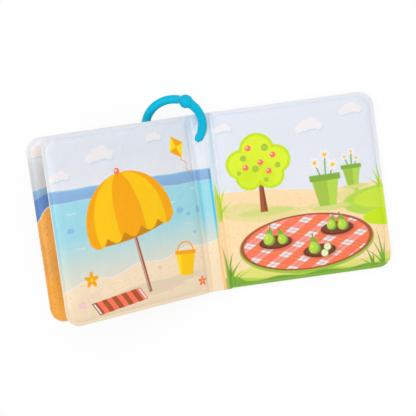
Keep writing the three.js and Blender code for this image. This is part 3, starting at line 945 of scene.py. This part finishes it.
def loft_faces(ring_count, count, flip):
    """Faces of a bar through rings of points, with closed ends."""
    faces = [(ring + at, ring + count + at, ring + count + (at + 1) % count, ring + (at + 1) % count)
             for ring in range(0, (ring_count - 1) * count, count) for at in range(count)]
    last = (ring_count - 1) * count
    faces += [tuple(range(count)), tuple(range(last + count - 1, last - 1, -1))]
    return [face[::-1] for face in faces] if flip else faces


def leaf_film(leaf, facing, name, print_name):
    """One printed film of a leaf, a closed sheet that is welded flat at the rim and crowned over the pad."""
    lead = 0 if facing < 0 else BEACH_LEAD if leaf.side < 0 else MEADOW_LEAD
    thickness = sizes_now().film_thickness
    outer_flat, outer = leaf.nest(facing, FILM_INSETS, 0, LEAST_FILM, RIM_EDGE)
    inner_flat, inner = leaf.nest(facing, FILM_INSETS, thickness, LEAST_FILM, LEAST_FILM)
    flat = np.concatenate([outer_flat, inner_flat])
    uvs = np.stack([leaf.side * facing * (flat[:, 0] + lead), flat[:, 1] + PAGE_HEIGHT / 2], 1)
    edge_line = [0 if near else 1 for near in leaf.outline(0)[:, 0] < 1]
    face_count = len(FILM_INSETS) * leaf.count
    face_materials = edge_line * 2 + [0] * (face_count - 2 * leaf.count) + [1] * face_count + edge_line
    return add_piece(name, np.concatenate([outer, inner]),
                     nest_faces(len(FILM_INSETS), leaf.count, leaf.side * facing < 0), uvs,
                     [print_name, "film_edge"], face_materials)


def leaf_pad(leaf, name):
    """The foam inside a leaf: a closed pillow just clear of both films."""
    depth = sizes_now().film_thickness + PAD_CLEARANCE
    vertices = np.concatenate([leaf.nest(facing, PAD_INSETS, depth, LEAST_PAD)[1] for facing in (1, -1)])
    faces = nest_faces(len(PAD_INSETS), leaf.count, leaf.side < 0)
    return add_piece(name, vertices, faces, vertices[:, :2], ["open_cell_foam"], [0] * len(faces))


def smooth_path(*points):
    """A Catmull-Rom curve through points in the XZ plane."""
    points = np.asarray(points, float)
    padded = np.concatenate([2 * points[:1] - points[1:2], points, 2 * points[-1:] - points[-2:-1]])
    curve = [points[:1]]
    for at in range(len(points) - 1):
        a, b, c, d = padded[at:at + 4]
        t = np.linspace(0, 1, PATH_STEPS + 1)[1:, None]
        curve.append(0.5 * (2 * b + (c - a) * t + (2 * a - 5 * b + 4 * c - d) * t ** 2
                            + (3 * b - a - 3 * c + d) * t ** 3))
    return np.concatenate(curve)


def ribbon(name, path, thickness, print_name, lead, lift=None, close_rows=()):
    """A closed film ribbon that follows a path in XZ along the whole height of the page."""
    along = np.gradient(path, axis=0)
    along /= np.linalg.norm(along, axis=1)[:, None]
    across = np.stack([-along[:, 1], along[:, 0]], 1) * thickness / 2
    travel = np.concatenate([[0], np.cumsum(np.linalg.norm(np.diff(path, axis=0), axis=1))])

    def cap(at, sign):
        return [path[at] + along[at] * sign * math.cos(turn) * thickness / 2
                + across[at] * math.sin(turn) * sign * -1 for turn in np.radians([-50, 0, 50])]

    loop = np.array(list(path + across) + cap(-1, 1) + list((path - across)[::-1]) + cap(0, -1))
    places = np.concatenate([travel, [travel[-1]] * 3, travel[::-1], [travel[0]] * 3])
    count = len(loop)
    half = PAGE_HEIGHT / 2
    rows_y = np.unique(np.concatenate([np.linspace(-half, half, RIBBON_ROWS), close_rows]))
    vertices, uvs = [], []
    for y in rows_y:
        raised = loop[:, 1] + (lift(loop[:, 0], y) if lift else 0)
        vertices.append(np.stack([loop[:, 0], np.full(count, PAGE_MIDDLE + y), raised], 1))
        uvs.append(np.stack([lead + places, np.full(count, y + half)], 1))
    faces = loft_faces(len(rows_y), count, True)
    return add_piece(name, np.concatenate(vertices), faces, np.concatenate(uvs),
                     [print_name, "film_edge"], [0] * (len(faces) - 2) + [1, 1])


def bent_bar(angles, radius_at, sides, seam=0.0):
    """Points and faces of a bar bent round the ring's circle, with closed ends, in the row frame."""
    centre = np.array(Vector(JOINTS["ring_slide"]["pos_m"]) / MM)
    tilt = np.array(Matrix.Rotation(math.radians(RING_TILT), 3, "X")
                    @ Matrix.Rotation(math.radians(RING_ROLL), 3, "Y"))
    turns = np.arange(sides) / sides * 2 * math.pi
    ridge = np.where(np.arange(sides) % (sides // 2) == 0, seam, 0)
    rings = []
    for angle in angles:
        radius = radius_at(angle) + ridge
        reach = RING_RADIUS + radius * np.cos(turns)
        flat = np.stack([reach * math.cos(angle), reach * math.sin(angle), radius * np.sin(turns)], 1)
        rings.append(flat @ tilt.T + centre)
    return np.concatenate(rings), loft_faces(len(angles), sides, False)


def drop_flaps(mesh):
    """Splits a cut mesh into triangles, and drops the doubled slivers that this leaves along the cut."""
    work = bmesh.new()
    work.from_mesh(mesh)
    bmesh.ops.triangulate(work, faces=work.faces[:])
    by_corners = {}
    for face in work.faces:
        by_corners.setdefault(frozenset(corner.index for corner in face.verts), []).append(face)
    flaps = {face for twins in by_corners.values() if len(twins) > 1 for face in twins}
    flaps.update(face for face in work.faces if any(edge.is_boundary for edge in face.edges))
    bmesh.ops.delete(work, geom=sorted(flaps, key=lambda face: face.index), context="FACES")
    work.to_mesh(mesh)
    work.free()


def cut_ring_hole(piece, clearance):
    """Cuts the hole that the ring's bar runs through."""
    radius = sizes_now().ring_bar / 2 + clearance
    arc = np.radians(np.linspace(*HOLE_ARC, HOLE_STEPS))
    vertices, faces = bent_bar(arc, lambda angle: radius, HOLE_SIDES)
    mesh = bpy.data.meshes.new("hole_cutter")
    mesh.from_pydata((vertices * MM).tolist(), [], faces)
    cutter = bpy.data.objects.new("hole_cutter", mesh)
    bpy.context.scene.collection.objects.link(cutter)
    cut = piece.modifiers.new("hole", "BOOLEAN")
    cut.object = cutter
    cut.operation = "DIFFERENCE"
    cut.solver = "EXACT"
    cut.material_mode = "INDEX"
    seen = piece.evaluated_get(bpy.context.evaluated_depsgraph_get())
    result = bpy.data.meshes.new_from_object(seen)
    piece.modifiers.clear()
    drop_flaps(result)
    piece.data = result
    result.name = piece.name
    result.shade_smooth()
    result.set_sharp_from_angle(angle=math.radians(CUT_SHARP_ANGLE))
    bpy.data.objects.remove(cutter)
    if len(result.polygons) == 0:
        raise RuntimeError(f"the hole in {piece.name} took the whole piece")


def all_leaves():
    return [Leaf("front_cover", FRONT_FOLD, COVER_TILT, -1, "harbour_print", "front_cover_print"),
            Leaf("leaf_1", LEAF_1_FOLD, LEAF_TILT, -1, "beach_print", "leaf_1_back_print"),
            Leaf("leaf_2", LEAF_2_FOLD, 0, 1, "meadow_print", "leaf_2_back_print"),
            Leaf("back_cover", BACK_COVER_EDGE, 0, 1, "pond_print", "back_cover_print")]


def gutter_lift(x, y):
    """How much the gutter film stands up: a slow sag, and the folds by the ring."""
    calm = np.clip((x + 13.4) / 6, 0, 1) * np.clip((6.2 - x) / 3, 0, 1)
    lift = calm * SAG * np.sin(y / 13 + x * 0.15)
    for start, end, height, reach in RING_FOLDS:
        run = np.array(end) - start
        offset = np.stack([x - start[0], np.full(len(x), y + PAGE_MIDDLE - start[1])], 1)
        share = np.clip(offset @ run / (run @ run), 0, 1)
        away = np.linalg.norm(offset - share[:, None] * run, axis=1)
        lift += height * np.exp(-(away / reach) ** 2)
    return lift


def in_row(x, z):
    """A point at the middle of the page's height, in metres."""
    return (x * MM, PAGE_MIDDLE * MM, z * MM)


def operator_done(operator, pieces):
    if not pieces:
        raise RuntimeError(f"{operator.bl_label} made nothing")
    return {"FINISHED"}


class BATHBOOK_OT_foam_pads(bpy.types.Operator):
    """Add the foam pad inside each leaf"""
    bl_idname = "bathbook.foam_pads"
    bl_label = "Foam pads"

    def execute(self, context):
        pieces = []
        for leaf in all_leaves():
            pad = leaf_pad(leaf, f"{leaf.name}_foam")
            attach(pad, leaf.name)
            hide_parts(f"{leaf.name}_foam_pad")
            pieces.append(pad)
        return operator_done(self, pieces)


class BATHBOOK_OT_leaf_films(bpy.types.Operator):
    """Add the two printed films of each leaf"""
    bl_idname = "bathbook.leaf_films"
    bl_label = "Leaf films"

    def execute(self, context):
        pieces = []
        for leaf in all_leaves():
            for node, facing, print_name in leaf.films:
                film = leaf_film(leaf, facing, f"{node}_skin", print_name)
                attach(film, leaf.name)
                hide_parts(node)
                pieces.append(film)
        return operator_done(self, pieces)


class BATHBOOK_OT_gutter_films(bpy.types.Operator):
    """Add the flat film between the open pages, which bends up to each leaf"""
    bl_idname = "bathbook.gutter_films"
    bl_label = "Gutter films"

    def execute(self, context):
        thickness = sizes_now().film_thickness
        crease = (GUTTER_X, GUTTER_Z - 0.22)
        left_path = smooth_path(crease, (GUTTER_X - 1.1, GUTTER_Z), (-4, GUTTER_Z), (-8.2, GUTTER_Z),
                                (-10.6, GUTTER_Z + 0.35), (-12.3, GUTTER_Z + 1.9), LEAF_1_FOLD)
        left = ribbon("gutter_film_left", left_path[::-1], thickness, "beach_print", -BEACH_LEAD, gutter_lift,
                      np.arange(44, 75, 0.6))
        right_path = smooth_path(crease, (GUTTER_X + 0.9, GUTTER_Z), (3.3, GUTTER_Z - 0.25),
                                 (4.75, GUTTER_Z - 1.5), (5.6, GUTTER_Z - 2.75), LEAF_2_FOLD)
        right = ribbon("gutter_film_right", right_path, thickness, "meadow_print", 0, gutter_lift)
        for film in (left, right):
            cut_ring_hole(film, GUTTER_HOLE_CLEARANCE)
        in_row(*LEAF_1_FOLD)
        in_row(-9.6, GUTTER_Z)
        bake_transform(left)
        in_row(*LEAF_2_FOLD)
        in_row(3.0, GUTTER_Z)
        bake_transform(right)
        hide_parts("spine_inner_strip")
        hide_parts("spine_inner_strip")
        return operator_done(self, [left, right])


class BATHBOOK_OT_hinge_films(bpy.types.Operator):
    """Add the film of the spine and the unpadded film at each hinge"""
    bl_idname = "bathbook.hinge_films"
    bl_label = "Spine and hinge films"

    def execute(self, context):
        thickness = sizes_now().film_thickness + 0.1
        front_x, front_z = FRONT_FOLD
        back_x, back_z = BACK_COVER_EDGE
        tilt = math.radians(COVER_TILT)

        def on_cover(x, z):
            return (front_x + x * math.cos(tilt) + z * math.sin(tilt),
                    front_z + z * math.cos(tilt) - x * math.sin(tilt))

        spine_path = smooth_path(FRONT_FOLD, (-11, front_z), (-4, front_z), (1.6, front_z),
                                 (3.2, front_z - 0.06), SPINE_FOLD)
        back_path = smooth_path(SPINE_FOLD, (3.92, 6.4), (4.35, 3.6), BACK_COVER_EDGE)
        leaf_2_path = smooth_path((back_x + 0.6, back_z + 0.62), (5.9, 4.2), LEAF_2_FOLD)
        leaf_1_path = smooth_path(on_cover(-0.7, 0.62), on_cover(-0.85, 2.2), LEAF_1_FOLD)
        pieces = []
        for name, path, lead, body, node in (
                ("spine_film", spine_path, 0, "spine", "spine_outer_strip"),
                ("back_cover_hinge_film", back_path, 18, "back_cover", "back_cover_hinge_strip"),
                ("leaf_2_hinge_film", leaf_2_path, 0, "back_cover", "leaf_2_hinge_strip"),
                ("leaf_1_hinge_film", leaf_1_path, 0, "front_cover", "leaf_1_hinge_strip")):
            piece = ribbon(name, path, thickness, "spine_print", lead)
            if name == "spine_film":
                cut_ring_hole(piece, SPINE_HOLE_CLEARANCE)
            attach(piece, body)
            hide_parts(node)
            pieces.append(piece)
        return operator_done(self, pieces)


class BATHBOOK_OT_ring(bpy.types.Operator):
    """Add the split ring with its bead"""
    bl_idname = "bathbook.ring"
    bl_label = "Split ring"

    def execute(self, context):
        sizes = sizes_now()
        bar, ball = sizes.ring_bar / 2, sizes.ring_bead / 2
        last = BEAD_ANGLE + SLIT_TO_BEAD / RING_RADIUS
        first = last + SLIT_WIDTH / RING_RADIUS - 2 * math.pi

        def radius_at(angle):
            along = (angle - BEAD_ANGLE) * RING_RADIUS
            radius = max(math.sqrt(max(ball ** 2 - along ** 2, 0)), bar)
            if -NECK_LENGTH < along < 0:
                neck = bar * 0.8 + NECK_SWELL * math.exp(-(along / NECK_FADE) ** 4)
                radius = max(min((radius ** 6 + neck ** 6) ** (1 / 6), ball), bar)
            to_end = min(angle - first, last - angle) * RING_RADIUS
            if to_end < END_LENGTH:
                radius -= END_ROUNDING * (1 - math.sqrt(max(1 - (1 - to_end / END_LENGTH) ** 2, 0)))
            return radius

        end = np.linspace(0, 0.6, 7) / RING_RADIUS
        angles = np.unique(np.concatenate([
            np.linspace(first, last, RING_STEPS),
            BEAD_ANGLE + np.linspace(-NECK_FINE, SLIT_TO_BEAD, BEAD_STEPS) / RING_RADIUS,
            first + end, last - end]).round(6))
        angles = angles[(angles >= first) & (angles <= last)]
        vertices, faces = bent_bar(angles, radius_at, RING_SIDES, RING_SEAM)
        piece = add_piece("toy_ring", vertices, faces, vertices[:, :2], ["ring_plastic"],
                          [0] * len(faces))
        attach(piece, "ring")
        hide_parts("split_ring")
        return operator_done(self, [piece])


class BATHBOOK_OT_stage(bpy.types.Operator):
    """Add the floor, the lights, the world and the camera"""
    bl_idname = "bathbook.stage"
    bl_label = "Stage"

    def execute(self, context):
        scene = context.scene
        mesh = bpy.data.meshes.new("floor")
        corners = [(-1, -1), (1, -1), (1, 1), (-1, 1)]
        mesh.from_pydata([(x * FLOOR_HALF, y * FLOOR_HALF, 0) for x, y in corners], [], [(0, 1, 2, 3)])
        floor = bpy.data.objects.new("floor", mesh)
        floor.location.z = -FLOOR_DROP
        scene.collection.objects.link(floor)
        mesh.materials.append(material("floor"))
        for name, place, size, power in LAMPS:
            lamp = bpy.data.lights.new(name, "AREA")
            lamp.size = size
            lamp.energy = power
            light = bpy.data.objects.new(name, lamp)
            light.location = place
            light.rotation_mode = "QUATERNION"
            light.rotation_quaternion = (-Vector(place)).to_track_quat("-Z", "Y")
            scene.collection.objects.link(light)
        self.light_world(scene)
        self.add_camera(scene)
        scene.view_settings.view_transform = "Standard"
        return {"FINISHED"}

    @staticmethod
    def light_world(scene):
        """A dim light, but full white where it is seen or mirrored."""
        scene.world = bpy.data.worlds.new("studio")
        graph = Graph(scene.world)
        by_camera = graph.add("ShaderNodeLightPath", None, None, "Is Camera Ray")
        mirrored = graph.add("ShaderNodeLightPath", None, None, "Is Glossy Ray")
        strength = by_camera.maths("MAXIMUM", mirrored) * (1 - WORLD_LIGHT) + WORLD_LIGHT
        background = graph.add("ShaderNodeBackground", None, {"Color": (1, 1, 1), "Strength": strength})
        graph.finish(background, "ShaderNodeOutputWorld")

    @staticmethod
    def add_camera(scene):
        tilt, lean, turn = CAMERA_TURNS
        to_view = (Matrix.Rotation(turn, 3, "Z") @ Matrix.Rotation(tilt, 3, "X")
                   @ Matrix.Rotation(lean, 3, "Y"))
        from_view = to_view.transposed()
        place = from_view @ (Vector((0, 0, CAMERA_DISTANCE)) - Vector(CAMERA_SLIDE))
        place += Vector((GUTTER_X, PAGE_MIDDLE, 0))
        camera = bpy.data.objects.new("camera", bpy.data.cameras.new("camera"))
        camera.data.lens = CAMERA_LENS
        camera.data.sensor_width = CAMERA_SENSOR
        camera.data.clip_start, camera.data.clip_end = CAMERA_CLIP
        camera.matrix_world = Matrix.Translation(place * MM) @ from_view.to_4x4()
        scene.collection.objects.link(camera)
        scene.camera = camera


PIECE_OPERATORS = [BATHBOOK_OT_stage, BATHBOOK_OT_foam_pads, BATHBOOK_OT_leaf_films,
                   BATHBOOK_OT_gutter_films, BATHBOOK_OT_hinge_films, BATHBOOK_OT_ring]


class BATHBOOK_PT_panel(bpy.types.Panel):
    """Buttons for the bath book's pieces"""
    bl_idname = "BATHBOOK_PT_panel"
    bl_label = "Bath Book"
    bl_space_type = "VIEW_3D"
    bl_region_type = "UI"
    bl_category = "Bath Book"

    def draw(self, context):
        for operator in PIECE_OPERATORS:
            self.layout.operator(operator.bl_idname)
        for group in (context.scene.bath_book_sizes, context.scene.bath_book_colours):
            column = self.layout.column()
            for name in own_names(group):
                column.prop(group, name)


CLASSES = [BathBookSizes, BathBookColours, *PIECE_OPERATORS, BATHBOOK_PT_panel]


def register():
    for item in CLASSES:
        bpy.utils.register_class(item)
    bpy.types.Scene.bath_book_sizes = bpy.props.PointerProperty(type=BathBookSizes)
    bpy.types.Scene.bath_book_colours = bpy.props.PointerProperty(type=BathBookColours)


def unregister():
    del bpy.types.Scene.bath_book_colours
    del bpy.types.Scene.bath_book_sizes
    for item in reversed(CLASSES):
        bpy.utils.unregister_class(item)


def main():
    register()
    bpy.ops.bathbook.stage()
    bpy.ops.bathbook.foam_pads()
    bpy.ops.bathbook.leaf_films()
    bpy.ops.bathbook.gutter_films()
    bpy.ops.bathbook.hinge_films()
    bpy.ops.bathbook.ring()


if __name__ == "__main__":
    main()
